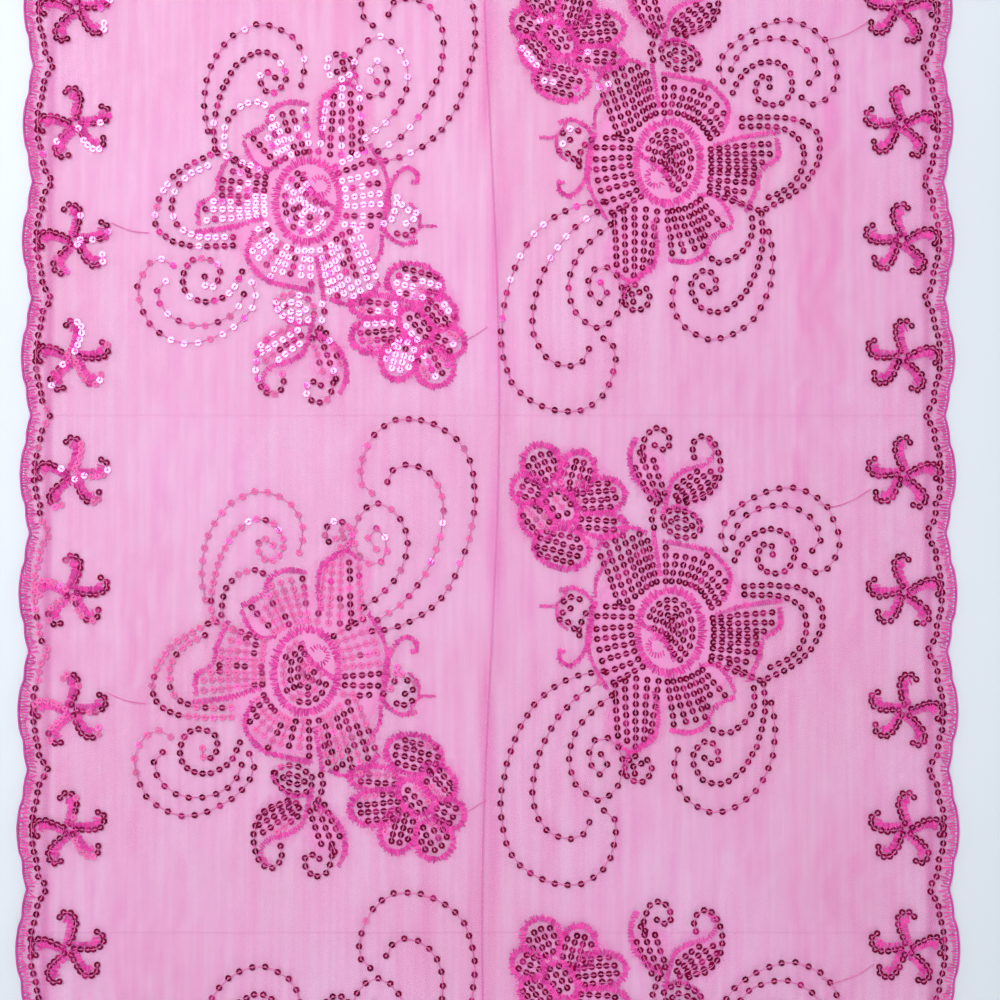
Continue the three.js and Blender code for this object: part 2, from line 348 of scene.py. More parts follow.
SATIN_LINES = [
    {"through": [(-22, 104), (-25.5, 95), (-23.5, 83), (-16.5, 75), (-8, 69)], "width": 2.9, "inward": 1},
    {"through": [(16, 102), (19.5, 96), (15.5, 90.5), (4.5, 87), (-2.5, 81.5), (-5.5, 72), (-8, 61)],
     "width": 2.7, "inward": 1},
    {"through": [(-5, 67), (4, 67.5), (11, 63), (16, 56)], "width": 2.4, "inward": -1},
    {"through": [(-18, 6), (-9, 0), (-2.5, -6.5), (1, -15)], "width": 3.0, "inward": -1},
    {"through": [(-72, 14.5), (-65, 14.5), (-60.5, 19), (-58.5, 23)], "width": 1.8, "inward": -1},
    {"through": [(-62, 23), (-54, 24.5), (-46, 20), (-42, 14)], "width": 2.4, "inward": -1},
    {"through": [(-64, 14), (-63.5, 6), (-58, 0)], "width": 1.8, "inward": 1},
    {"through": [(-43, 7), (-44.5, -4), (-49, -14), (-56, -19.5), (-62.5, -16), (-63, -10), (-58, -9)],
     "width": 2.6, "inward": -1},
    {"through": [(-10, -32), (-8, -42), (-8.5, -52), (-12, -59), (-20, -63), (-24.5, -67), (-26, -74)],
     "width": 2.6, "inward": -1},
    {"through": [(-13, 53), (-11, 40), (-9, 29)], "width": 2.6, "inward": 1},
    {"through": [(21, 10), (36, 15), (57, 18)], "width": 2.8, "inward": -1},
    {"through": [(13, -17), (21, -16.5), (28, -22), (33, -32)], "width": 2.4, "inward": -1},
    {"through": [(-35, 42), (-40, 34), (-43.5, 27), (-44, 18)], "width": 2.2, "inward": 1},
]

WIDE_PITCH_MM = 7.1
TRAILS = [
    {"pitch": WIDE_PITCH_MM, "through": [
        (27, 44), (25, 55), (38, 69), (61, 77), (80, 68), (88, 50), (85, 38), (77, 31), (69, 35)]},
    {"pitch": WIDE_PITCH_MM, "through": [
        (31, 50), (36, 60), (47, 66), (60, 67), (72, 61), (78, 50), (73, 43)]},
    {"pitch": 4.7, "through": [
        (32, 38), (38, 49), (50, 54.5), (61, 51), (64, 41), (60, 33), (53, 31), (45.5, 34), (44, 40),
        (47, 46), (51.5, 46), (52, 41)]},
    {"pitch": DENSE_PITCH_MM, "through": [
        (37, 24), (52, 24.5), (66, 23), (76, 17), (79, 9), (76, -3), (68, -14), (57, -21), (46, -26),
        (37, -22), (29, -17)]},
    {"pitch": DENSE_PITCH_MM, "through": [
        (37, 19.5), (48, 19.5), (58, 18.5), (67, 13), (70, 4), (68, -6), (61, -14), (51, -19)]},
    {"pitch": WIDE_PITCH_MM, "through": [
        (51, -38), (53, -52), (51, -68), (45, -81), (36, -90.5), (22, -96), (8, -91), (1, -82), (-1, -73),
        (1, -63)]},
    {"pitch": 4.9, "through": [
        (47, -28), (47.5, -43), (43, -61), (35, -74), (24, -81), (14, -78), (9, -68), (13, -60), (19, -59),
        (23, -66), (20, -70.5), (15, -67)]},
    {"pitch": DENSE_PITCH_MM, "through": [(42, -30), (41, -42), (33, -51.5), (24.5, -54), (20, -52)]},
    {"pitch": WIDE_PITCH_MM, "through": [
        (-38, -21), (-52, -23.5), (-65, -30), (-76, -40), (-85, -56), (-91, -75), (-93, -96), (-89, -115),
        (-80, -126.5), (-65, -133.5), (-49, -133.5), (-37.5, -124), (-32, -109), (-33, -99), (-38, -95)]},
    {"pitch": WIDE_PITCH_MM, "through": [
        (-41, -27), (-54, -36), (-66, -51), (-74, -70), (-76, -90), (-70, -104), (-59.5, -110), (-50, -108),
        (-46, -101)]},
    {"pitch": WIDE_PITCH_MM, "through": [
        (-34, -34), (-44, -42), (-53, -53), (-57, -67), (-53, -81), (-42, -89.5), (-32, -84), (-28, -72),
        (-31, -61), (-37.5, -56.5), (-44, -59), (-46, -66.5), (-44, -73), (-40, -76),
        (-36, -70.5), (-40, -65)]},
]


def leaf_rows(work, leaf):
    """Rows of sequins along a leaf, drawn together at its stem."""
    turn = math.radians(leaf["turn"])
    for row in range(leaf["rows"]):
        share = (2 * row + 1 - leaf["rows"]) / leaf["rows"]
        line = []
        for step in range(9):
            along = -0.5 + step / 8
            reach = math.sqrt(max(0.0, 1 - (2 * along) ** 2)) if along > 0 else 1.0
            taper = LEAF_STEM_SHARE + (1 - LEAF_STEM_SHARE) * (along + 0.5)
            spread = leaf["width"] / 2 * share * taper * min(1.0, reach + 0.35)
            line.append(Vector((
                leaf["x"] + leaf["length"] * along * math.cos(turn) - spread * math.sin(turn),
                leaf["y"] + leaf["length"] * along * math.sin(turn) + spread * math.cos(turn),
            )))
        kept = [point for point in smooth_line(line, steps=4) if within_oval(leaf, point, LEAF_MARGIN_MM)]
        if len(kept) > 1:
            work.run(kept, DENSE_PITCH_MM)


def fan(work, inner, outer, rows, margin):
    """Rows of sequins side by side from an inner line to short of an outer one."""
    for row in range(rows):
        share = (row + 0.5) / rows
        ends = []
        for line in (inner, outer):
            place = share * (len(line) - 1)
            i = min(len(line) - 2, int(place))
            ends.append(line[i].lerp(line[i + 1], place - i))
        start, end = ends
        length = (end - start).length
        stop = start.lerp(end, max(0.0, 1 - margin / length))
        if (stop - start).length > DENSE_PITCH_MM * 0.5:
            work.run([start, stop], DENSE_PITCH_MM * 0.98)


def blossom(work):
    """The large flower: six fans of sequins with satin rims, round a heart with arcs of sequins in it."""
    for petal in FANS:
        inner, outer = smooth_line(petal["inner"]), smooth_line(petal["outer"])
        fan(work, inner, outer, petal["rows"], petal["satin"] + FAN_GAP_MM)
        rim = outer if cross(outer) > 0 else outer[::-1]
        work.comb(rim, petal["satin"])
    work.comb(oval_arc(HEART, 0, 360), HEART_RING_MM)
    for shrink in HEART_ARCS:
        line = oval_arc(HEART, *HEART_ARC_ENDS, shrink, steps=90)
        kept = [p for p in line if (p - HEART_BREAK["at"]).dot(HEART_BREAK["toward"]) > HEART_BREAK["margin"]]
        work.run(kept, DENSE_PITCH_MM)
    work.comb(oval_arc(HEART_CURL, 0, HEART_CURL["end"]), HEART_CURL["satin"], -1)


def cross(line):
    """Above zero when a line goes round the middle of the motif counterclockwise."""
    return line[0].x * line[-1].y - line[0].y * line[-1].x


def cluster_rows(work, oval):
    """Straight rows of sequins side by side, filling an oval."""
    turn = math.radians(oval["turn"])
    middle = Vector((oval["x"], oval["y"]))
    along = Vector((math.cos(turn), math.sin(turn)))
    across = Vector((-math.sin(turn), math.cos(turn)))
    for row in range(oval["rows"]):
        offset = (row - (oval["rows"] - 1) / 2) * FLOWER_ROW_GAP_MM
        reach = oval["length"] / 2 * math.sqrt(max(0.1, 1 - (2 * offset / (oval["width"] + 3)) ** 2))
        start, end = (middle + across * offset + along * reach * way for way in (-1, 1))
        work.run([start, end], even_pitch([start, end], FLOWER_PITCH_MM), random.uniform(0, 0.8))


def small_flower(work):
    """The small flower beside it, of ovals ringed in satin."""
    for petal in FLOWER:
        work.comb(oval_arc(petal, 0, 360, -FLOWER_SATIN_MM), FLOWER_SATIN_MM)
        cluster_rows(work, petal)


def leaves(work):
    """The two leaves, the bud between them, the side rows, and all satin lines."""
    for leaf in LEAVES:
        leaf_rows(work, leaf)
    for ring in BUD_RINGS:
        work.run(oval_arc(BUD, ring["start"], ring["start"] + 360, ring["shrink"]), DENSE_PITCH_MM)
    for line in LEAF_HOOKS + SIDE_ROWS:
        work.run(smooth_line(line), DENSE_PITCH_MM)
    work.run(smooth_line(BUD_STEM), DENSE_PITCH_MM)
    for curl in CURLS:
        work.run(oval_arc(curl, curl["start"], curl["end"]), DENSE_PITCH_MM)
    for satin in SATIN_LINES:
        work.comb(smooth_line(satin["through"]), satin["width"], satin["inward"])


def trails(work):
    """The long curling rows of sequins round a spray."""
    for trail in TRAILS:
        line = smooth_line(trail["through"])
        work.run(line, even_pitch(line, trail["pitch"]))


JUMPS = {
    "right": [[(76.9, 68.6), (84, 66.5), (95, 70), (104.8, 76.1)]],
    "left": [[(82.2, 17.2), (92, 16), (102.6, 11.8)], [(-78.6, 76), (-88, 75), (-99.5, 68)]],
}


def spray(side):
    """One spray, with the loose threads of its side."""
    work = Work()
    for jump in JUMPS[side]:
        work.jumps.append(smooth_line(jump, steps=5))
    trails(work)
    blossom(work)
    small_flower(work)
    leaves(work)
    return work


# ---- A star, and the edge of the shawl ----

STAR_ARM_TURNS = [105, 20, -45, -120, -180]
STAR_ARM = [(3.2, 0), (9, -0.8), (14.4, -0.7), (18.2, 1.6), (18.7, 6.0), (15.4, 8.4)]
STAR_PAD = [(1.5, 0.2), (8, -0.2), (13.6, 0.2), (16.6, 2.2), (16.6, 5.4)]
STAR_SEQUIN_PITCH_MM = 3.5
STAR_SATIN_MM = 3.7


def turned(points, degrees):
    """Points given as out and to the right, once the way out is turned by an angle."""
    cos, sin = math.cos(math.radians(degrees)), math.sin(math.radians(degrees))
    return [(out * cos + side * sin, out * sin - side * cos) for out, side in points]


def star():
    """A star of the right border: each arm goes straight out and hooks round clockwise."""
    work = Work()
    for turn in STAR_ARM_TURNS:
        work.run(smooth_line(turned(STAR_ARM, turn)), STAR_SEQUIN_PITCH_MM)
        work.comb(smooth_line(turned(STAR_PAD, turn)), STAR_SATIN_MM, -1)
    return work


SCALLOP = [
    (0, 5.3), (4, 4.3), (9, 3.3), (15, 2.9), (21, 1.0), (31.5, 0), (42, 1.0), (48, 2.9), (54, 3.3), (59, 4.3),
]
BORDER_PITCH_MM = 4.5
BORDER_STITCH_MM = 1.5
BORDER_STITCH_WIDE_MM = 0.72
BORDER_INSET_MM = 7.4
BORDER_NOTCH_MM = 2.6
BORDER_NOTCH_HALF_MM = 9
BORDER_SATIN_MM = 4.4
BORDER_FIRST_MM = 2.0


def edge_line(side):
    """The scalloped edge from end to end, in millimetres, going up the shawl."""
    points = []
    half = HALF_LENGTH / MM
    pitch = STAR_PITCH / MM
    count = math.ceil(half / pitch)
    for i in range(-count, count):
        for along, short in SCALLOP:
            y = i * pitch + along
            if abs(y) < half:
                points.append((side * (HALF_WIDTH / MM - short), y))
    points.insert(0, (points[0][0], -half))
    points.append((points[-1][0], half))
    return smooth_line(points, steps=5)


def border(side):
    """The satin edge with its cord, and the line of sequins that follows it."""
    work = Work()
    line = edge_line(side)
    work.comb(line, BORDER_SATIN_MM, side, ragged=0, pitch=BORDER_STITCH_MM, wide=BORDER_STITCH_WIDE_MM)
    work.cords.append(line)
    pitch = STAR_PITCH / MM
    inner = []
    for point in line:
        notch = swell(point.y - round(point.y / pitch) * pitch, BORDER_NOTCH_HALF_MM)
        inner.append(point - Vector((side * (BORDER_INSET_MM + BORDER_NOTCH_MM * notch), 0)))
    work.run(inner, even_pitch(inner, BORDER_PITCH_MM), BORDER_FIRST_MM)
    return work


# ---- Materials ----


def new_material(name, **values):
    material = bpy.data.materials.new(name)
    material.use_nodes = True
    shader = material.node_tree.nodes["Principled BSDF"]
    for socket, value in values.items():
        shader.inputs[socket.replace("_", " ")].default_value = value
    return material, material.node_tree.nodes, material.node_tree.links, shader


def group_tree(name, inputs, outputs):
    tree = bpy.data.node_groups.new(name, "ShaderNodeTree")
    for label, kind in inputs:
        tree.interface.new_socket(label, in_out="INPUT", socket_type=kind)
    for label, kind in outputs:
        tree.interface.new_socket(label, in_out="OUTPUT", socket_type=kind)
    return tree, tree.nodes.new("NodeGroupInput"), tree.nodes.new("NodeGroupOutput")


def math_node(tree, operation, *values):
    node = tree.nodes.new("ShaderNodeMath")
    node.operation = operation
    for i, value in enumerate(values):
        if isinstance(value, (int, float)):
            node.inputs[i].default_value = value
        else:
            tree.links.new(value, node.inputs[i])
    return node.outputs[0]


def net_mesh_group():
    """A net of six-sided holes: how much thread there is, from 0 in a hole to 1."""
    tree, given, put = group_tree(
        "net_mesh",
        [("Vector", "NodeSocketVector"), ("Holes per metre", "NodeSocketFloat")],
        [("Thread", "NodeSocketFloat")],
    )
    split = tree.nodes.new("ShaderNodeSeparateXYZ")
    tree.links.new(given.outputs["Vector"], split.inputs[0])
    rate = math_node(tree, "MULTIPLY", given.outputs["Holes per metre"], 2 * math.pi)
    total = None
    for turn in (20, 80, 140):
        across = math_node(tree, "MULTIPLY", split.outputs["X"], math.cos(math.radians(turn)))
        along = math_node(tree, "MULTIPLY_ADD", split.outputs["Y"], math.sin(math.radians(turn)), across)
        wave = math_node(tree, "COSINE", math_node(tree, "MULTIPLY", along, rate))
        total = wave if total is None else math_node(tree, "ADD", total, wave)
    thread = tree.nodes.new("ShaderNodeMapRange")
    thread.interpolation_type = "SMOOTHSTEP"
    tree.links.new(total, thread.inputs["Value"])
    thread.inputs["From Min"].default_value = 1.6
    thread.inputs["From Max"].default_value = -0.9
    tree.links.new(thread.outputs[0], put.inputs["Thread"])
    return tree


def full_range(tree, noise_node):
    """A noise, which keeps near its middle, stretched to reach from 0 to 1."""
    spread = tree.nodes.new("ShaderNodeMapRange")
    tree.links.new(noise_node.outputs["Fac"], spread.inputs["Value"])
    spread.inputs["From Min"].default_value = 0.3
    spread.inputs["From Max"].default_value = 0.7
    return spread.outputs[0]


def mottle_group():
    """Soft uneven patches, from 0 to 1."""
    tree, given, put = group_tree(
        "mottle",
        [("Vector", "NodeSocketVector"), ("Scale", "NodeSocketFloat"), ("Detail", "NodeSocketFloat")],
        [("Amount", "NodeSocketFloat")],
    )
    patches = tree.nodes.new("ShaderNodeTexNoise")
    patches.noise_dimensions = "2D"
    for socket in ("Vector", "Scale", "Detail"):
        tree.links.new(given.outputs[socket], patches.inputs[socket])
    tree.links.new(full_range(tree, patches), put.inputs["Amount"])
    return tree


def streak_group():
    """Fine uneven lines along the cloth, from 0 to 1."""
    tree, given, put = group_tree(
        "streaks",
        [("Vector", "NodeSocketVector"), ("Across", "NodeSocketFloat"), ("Along", "NodeSocketFloat")],
        [("Amount", "NodeSocketFloat")],
    )
    scale = tree.nodes.new("ShaderNodeCombineXYZ")
    tree.links.new(given.outputs["Across"], scale.inputs["X"])
    tree.links.new(given.outputs["Along"], scale.inputs["Y"])
    stretch = tree.nodes.new("ShaderNodeVectorMath")
    stretch.operation = "MULTIPLY"
    tree.links.new(given.outputs["Vector"], stretch.inputs[0])
    tree.links.new(scale.outputs[0], stretch.inputs[1])
    lines = tree.nodes.new("ShaderNodeTexNoise")
    lines.noise_dimensions = "2D"
    lines.inputs["Scale"].default_value = 1
    lines.inputs["Detail"].default_value = 2
    tree.links.new(stretch.outputs[0], lines.inputs["Vector"])
    tree.links.new(full_range(tree, lines), put.inputs["Amount"])
    return tree


def fold_line_group():
    """How near a point is to a fold: 1 on it, 0 at half the fold's width."""
    tree, given, put = group_tree(
        "fold_line",
        [("Distance", "NodeSocketFloat"), ("Half width", "NodeSocketFloat")],
        [("Amount", "NodeSocketFloat")],
    )
    away = math_node(tree, "ABSOLUTE", given.outputs["Distance"])
    near = tree.nodes.new("ShaderNodeMapRange")
    near.interpolation_type = "SMOOTHSTEP"
    tree.links.new(away, near.inputs["Value"])
    tree.links.new(given.outputs["Half width"], near.inputs["From Min"])
    near.inputs["From Max"].default_value = 0
    tree.links.new(near.outputs[0], put.inputs["Amount"])
    return tree


NET_MESH = net_mesh_group()
STREAK_LINES = streak_group()
FOLD_LINE = fold_line_group()
MOTTLE = mottle_group()


def object_place(nodes):
    return nodes.new("ShaderNodeTexCoord").outputs["Object"]


def placed_group(nodes, links, tree, **values):
    node = nodes.new("ShaderNodeGroup")
    node.node_tree = tree
    links.new(object_place(nodes), node.inputs["Vector"])
    for socket, value in values.items():
        node.inputs[socket.replace("_", " ")].default_value = value
    return node


def attribute(nodes, name):
    node = nodes.new("ShaderNodeAttribute")
    node.attribute_name = name
    return node.outputs["Fac"]


def blend_colours(nodes, links, share, low, high):
    mix = nodes.new("ShaderNodeMix")
    mix.data_type = "RGBA"
    for socket, value in (("A", low), ("B", high)):
        target = next(s for s in mix.inputs if s.name == socket and s.type == "RGBA")
        if isinstance(value, tuple):
            target.default_value = (*value, 1)
        else:
            links.new(value, target)
    links.new(share, mix.inputs["Factor"])
    return next(s for s in mix.outputs if s.type == "RGBA")


def bump(nodes, links, height, strength, distance):
    node = nodes.new("ShaderNodeBump")
    node.inputs["Strength"].default_value = strength
    node.inputs["Distance"].default_value = distance
    links.new(height, node.inputs["Height"])
    return node.outputs["Normal"]


NET_HOLES_PER_METRE = 900


def net_material():
    material, nodes, links, shader = new_material("net", Roughness=0.75)
    tree = material.node_tree
    mesh = placed_group(nodes, links, NET_MESH, Holes_per_metre=NET_HOLES_PER_METRE)
    patches = placed_group(nodes, links, MOTTLE, Scale=9, Detail=1)
    streaks = placed_group(nodes, links, STREAK_LINES, Across=230, Along=11)
    folds = nodes.new("ShaderNodeAttribute")
    folds.attribute_name = "folds"
    split = nodes.new("ShaderNodeSeparateXYZ")
    links.new(folds.outputs["Vector"], split.inputs[0])
    # Along the middle crease, the cross creases and the pucker line by each border, the net is drawn denser
    # and darker: partly gathered net, partly painted crease shade. Each fold gives the axis of its distance,
    # its half width, and how deep it goes.
    fold_density_and_shade = None
    for axis, half, depth in (("X", 0.0010, 0.60), ("Y", 0.0010, 0.14), ("Z", 0.0040, 0.45)):
        line = nodes.new("ShaderNodeGroup")
        line.node_tree = FOLD_LINE
        line.inputs["Half width"].default_value = half
        links.new(split.outputs[axis], line.inputs["Distance"])
        deep = math_node(tree, "MULTIPLY", line.outputs["Amount"], depth)
        fold_density_and_shade = deep if fold_density_and_shade is None else math_node(tree, "MAXIMUM", fold_density_and_shade, deep)
    colour = blend_colours(nodes, links, patches.outputs["Amount"], (0.97, 0.085, 0.50), (1.0, 0.14, 0.60))
    # Painted crease shade: along the folds the net's colour goes toward a deep pink.
    colour = blend_colours(nodes, links, fold_density_and_shade, colour, (0.62, 0.04, 0.34))
    # Under the embroidery the net is denser and a lighter pink: partly its backing thread, partly painted
    # light that offsets the shade the sequins cast on it.
    backing_and_painted_light = attribute(nodes, "worked")
    colour = blend_colours(nodes, links, backing_and_painted_light, colour, (1.0, 0.36, 0.73))
    links.new(colour, shader.inputs["Base Color"])
    cover = math_node(tree, "MULTIPLY_ADD", mesh.outputs["Thread"], 0.035, 0.145)
    cover = math_node(tree, "MULTIPLY_ADD", streaks.outputs["Amount"], 0.045, cover)
    cover = math_node(tree, "MULTIPLY_ADD", fold_density_and_shade, 0.25, cover)
    cover = math_node(tree, "MULTIPLY_ADD", attribute(nodes, "steep"), 0.13, cover)
    cover = math_node(tree, "MULTIPLY_ADD", backing_and_painted_light, 0.34, cover)
    links.new(cover, shader.inputs["Alpha"])
    links.new(bump(nodes, links, mesh.outputs["Thread"], 0.1, 0.0003), shader.inputs["Normal"])
    return material


def thread_material(name, light, dark):
    material, nodes, links, shader = new_material(name, Roughness=0.42, Specular_IOR_Level=0.4)
    twist = placed_group(nodes, links, MOTTLE, Scale=900, Detail=0)
    patches = placed_group(nodes, links, MOTTLE, Scale=120, Detail=0)
    tone = attribute(nodes, "tone")
    share = math_node(material.node_tree, "MULTIPLY_ADD", patches.outputs["Amount"], 0.35, tone)
    colour = blend_colours(nodes, links, share, dark, light)
    links.new(colour, shader.inputs["Base Color"])
    links.new(bump(nodes, links, twist.outputs["Amount"], 0.4, 0.0002), shader.inputs["Normal"])
    return material


def sequin_material():
    material, nodes, links, shader = new_material(
        "sequins", Roughness=0.10, Metallic=0.15, IOR=2.5, Specular_Tint=(1.0, 0.05, 0.55, 1),
        Coat_Weight=1.0, Coat_Roughness=0.04)
    patches = placed_group(nodes, links, MOTTLE, Scale=260, Detail=0)
    tone = attribute(nodes, "tone")
    colour = blend_colours(nodes, links, tone, (0.085, 0.0002, 0.012), (0.82, 0.03, 0.30))
    colour = blend_colours(nodes, links, patches.outputs["Amount"], colour, (0.27, 0.0005, 0.036))
    links.new(colour, shader.inputs["Base Color"])
    return material


def table_material():
    material, nodes, links, shader = new_material("table_white", Roughness=0.6)
    patches = placed_group(nodes, links, MOTTLE, Scale=3, Detail=1)
    colour = blend_colours(nodes, links, patches.outputs["Amount"], (0.69, 0.73, 0.79), (0.72, 0.76, 0.82))
    links.new(colour, shader.inputs["Base Color"])
    return material


NET = net_material()
SATIN = thread_material("satin", (0.93, 0.10, 0.49), (0.60, 0.018, 0.29))
RUNNING = thread_material("running_thread", (0.90, 0.26, 0.56), (0.74, 0.12, 0.40))
CORD = thread_material("edge_cord", (0.78, 0.11, 0.50), (0.60, 0.04, 0.36))
SEQUIN = sequin_material()

# ---- Making pieces ----


def finished(name, mesh, material):
    """A mesh as a piece of the shawl."""
    mesh.name = name
    mesh.materials.clear()
    mesh.materials.append(material)
    piece = bpy.data.objects.new(name, mesh)
    bpy.context.scene.collection.objects.link(piece)
    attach(piece, BODY)
    return piece


def copy_tree():
    """Sets a copy of one shape on every point, turned and sized by the point's own attributes."""
    tree = bpy.data.node_groups.new("copies_on_points", "GeometryNodeTree")
    tree.interface.new_socket("Geometry", in_out="INPUT", socket_type="NodeSocketGeometry")
    tree.interface.new_socket("Shape", in_out="INPUT", socket_type="NodeSocketObject")
    tree.interface.new_socket("Geometry", in_out="OUTPUT", socket_type="NodeSocketGeometry")
    given = tree.nodes.new("NodeGroupInput")
    put = tree.nodes.new("NodeGroupOutput")
    shape = tree.nodes.new("GeometryNodeObjectInfo")
    copies = tree.nodes.new("GeometryNodeInstanceOnPoints")
    real = tree.nodes.new("GeometryNodeRealizeInstances")
    turn = tree.nodes.new("GeometryNodeInputNamedAttribute")
    size = tree.nodes.new("GeometryNodeInputNamedAttribute")
    spin = tree.nodes.new("FunctionNodeEulerToRotation")
    for node, label in ((turn, "turn"), (size, "size")):
        node.data_type = "FLOAT_VECTOR"
        node.inputs["Name"].default_value = label
    links = tree.links
    links.new(given.outputs["Geometry"], copies.inputs["Points"])
    links.new(given.outputs["Shape"], shape.inputs["Object"])
    links.new(shape.outputs["Geometry"], copies.inputs["Instance"])
    links.new(turn.outputs["Attribute"], spin.inputs["Euler"])
    links.new(spin.outputs["Rotation"], copies.inputs["Rotation"])
    links.new(size.outputs["Attribute"], copies.inputs["Scale"])
    links.new(copies.outputs["Instances"], real.inputs["Geometry"])
    links.new(real.outputs["Geometry"], put.inputs["Geometry"])
    return tree


COPIES = copy_tree()


def set_out(name, shape, marks, material):
    """One piece from a copy of the shape at each mark: its place, turn, size and tone."""
    cloud = bmesh.new()
    turn_layer = cloud.verts.layers.float_vector.new("turn")
    size_layer = cloud.verts.layers.float_vector.new("size")
    tone_layer = cloud.verts.layers.float.new("tone")
    for place, turn, size, tone in marks:
        point = cloud.verts.new(place)
        point[turn_layer] = turn
        point[size_layer] = size
        point[tone_layer] = tone
    mesh = bpy.data.meshes.new(name)
    cloud.to_mesh(mesh)
    cloud.free()
    holder = bpy.data.objects.new("holder", mesh)
    bpy.context.scene.collection.objects.link(holder)
    modifier = holder.modifiers.new("copies", "NODES")
    modifier.node_group = COPIES
    shape_socket = next(i for i in COPIES.interface.items_tree if i.name == "Shape")
    modifier[shape_socket.identifier] = shape
    bpy.context.view_layer.update()
    made = bpy.data.meshes.new_from_object(holder.evaluated_get(bpy.context.evaluated_depsgraph_get()))
    bpy.data.objects.remove(holder)
    bpy.data.meshes.remove(mesh)
    return finished(name, made, material)


def shape_object(name, form):
    mesh = bpy.data.meshes.new(name)
    form.to_mesh(mesh)
    form.free()
    shape = bpy.data.objects.new(name, mesh)
    bpy.context.scene.collection.objects.link(shape)
    return shape


def sequin_shape():
    """A thin flat ring, thinner at the hole in its middle."""
    form = bmesh.new()
    corners = [
        form.verts.new((SEQUIN_HOLE, 0, SEQUIN_THICK)),
        form.verts.new((SEQUIN_RADIUS, 0, 0)),
        form.verts.new((SEQUIN_RADIUS, 0, SEQUIN_THICK)),
    ]
    ring = [form.edges.new((corners[i], corners[(i + 1) % 3])) for i in range(3)]
    bmesh.ops.spin(
        form, geom=corners + ring, cent=(0, 0, 0), axis=(0, 0, 1), angle=2 * math.pi, steps=SEQUIN_SIDES,
        use_merge=True,
    )
    bmesh.ops.remove_doubles(form, verts=form.verts, dist=0.00001)
    bmesh.ops.recalc_face_normals(form, faces=form.faces)
    return shape_object("sequin_shape", form)


def stitch_shape():
    """A thread a metre long, wide and high, with a ridge along it, to be scaled to each stitch."""
    form = bmesh.new()
    bmesh.ops.create_cone(form, segments=3, radius1=1, radius2=1, depth=1, cap_ends=True)
    for vert in form.verts:
        if vert.co.y > 0.5:
            vert.co = (vert.co.z * STITCH_RIDGE, 0, 1)
        else:
            vert.co = (vert.co.z, vert.co.x * STITCH_FOOT, 0)
    bmesh.ops.recalc_face_normals(form, faces=form.faces)
    return shape_object("stitch_shape", form)


SEQUIN_SHAPE = sequin_shape()
STITCH_SHAPE = stitch_shape()


class Placing:
    """Where a motif goes: its middle on the shawl, turned, and mirrored on the left border."""

    def __init__(self, x, y, turn=0.0, mirror=1):
        self.x = x
        self.y = y
        self.turn = turn
        self.mirror = mirror

    def point(self, p):
        px, py = p.x * self.mirror * MM, p.y * MM
        cos, sin = math.cos(self.turn), math.sin(self.turn)
        return self.x + px * cos - py * sin, self.y + px * sin + py * cos

    def heading(self, angle):
        return self.turn + (angle if self.mirror > 0 else math.pi - angle)


SEQUIN_LEAN = math.radians(3.2)
SEQUIN_TILT = math.radians(2.0)
SEQUIN_TILT_MOST = math.radians(6.5)
SEQUIN_STRAY_MM = 0.17
DARK_TONES = (0, 0.36)
BRIGHT_TONES = (0.6, 1.0)
BRIGHT_SHARE = 0.15
LEAN_LENGTH = 7


def uneven(*middles, spread):
    """Each middle value, a little off at random, and never further than a sequin may tilt."""
    return [max(-SEQUIN_TILT_MOST, min(SEQUIN_TILT_MOST, random.gauss(middle, spread))) for middle in middles]


def sequin_marks(work, placing):
    """The sequins, which lean much alike along one run, as their thread pulls them."""
    marks = []
    for run in work.runs:
        lean = uneven(0, 0, spread=SEQUIN_LEAN)
        for i, (point, heading) in enumerate(run):
            if i % LEAN_LENGTH == LEAN_LENGTH - 1:
                lean = uneven(0, 0, spread=SEQUIN_LEAN)
            x, y = placing.point(point + Vector(random.gauss(0, SEQUIN_STRAY_MM) for _ in range(2)))
            tone = random.uniform(*DARK_TONES)
            if random.random() < BRIGHT_SHARE:
                tone = random.uniform(*BRIGHT_TONES)
            turn = Euler((*uneven(*lean, spread=SEQUIN_TILT), 0)).to_matrix()
            turn = turn @ Euler((0, 0, placing.heading(heading))).to_matrix()
            place = (x, y, net_height(x, y) + SEQUIN_LIFT)
            marks.append((place, tuple(turn.to_euler()), (1, 1, 1), tone))
    return marks


def stitch_marks(work, placing):
    marks = []
    for point, heading, length, wide in work.stitches:
        x, y = placing.point(point)
        turn = placing.heading(heading) + random.gauss(0, STITCH_STRAY)
        place = (x, y, net_height(x, y) + STITCH_LIFT)
        size = (length * MM, wide * random.uniform(*STITCH_WIDTHS) * MM, STITCH_HIGH)
        marks.append((place, (0, 0, turn), size, random.uniform(*STITCH_TONES)))
    return marks


def thread_lines(work, placing):
    """The running threads, over each sequin and down to the net between two, and the loose jumps."""
    lines = []
    for run in ([point for point, heading in marks] for marks in work.runs if len(marks) > 1):
        line = []
        for a, b in zip(run, run[1:] + run[-1:]):
            for point, lift in ((a, THREAD_LIFT), ((a + b) / 2, THREAD_RADIUS)):
                x, y = placing.point(point)
                line.append((x, y, net_height(x, y) + lift))
        lines.append(line[:-1])
    for jump in work.jumps:
        places = [placing.point(point) for point in jump]
        lines.append([(x, y, net_height(x, y) + THREAD_LIFT) for x, y in places])
    return lines


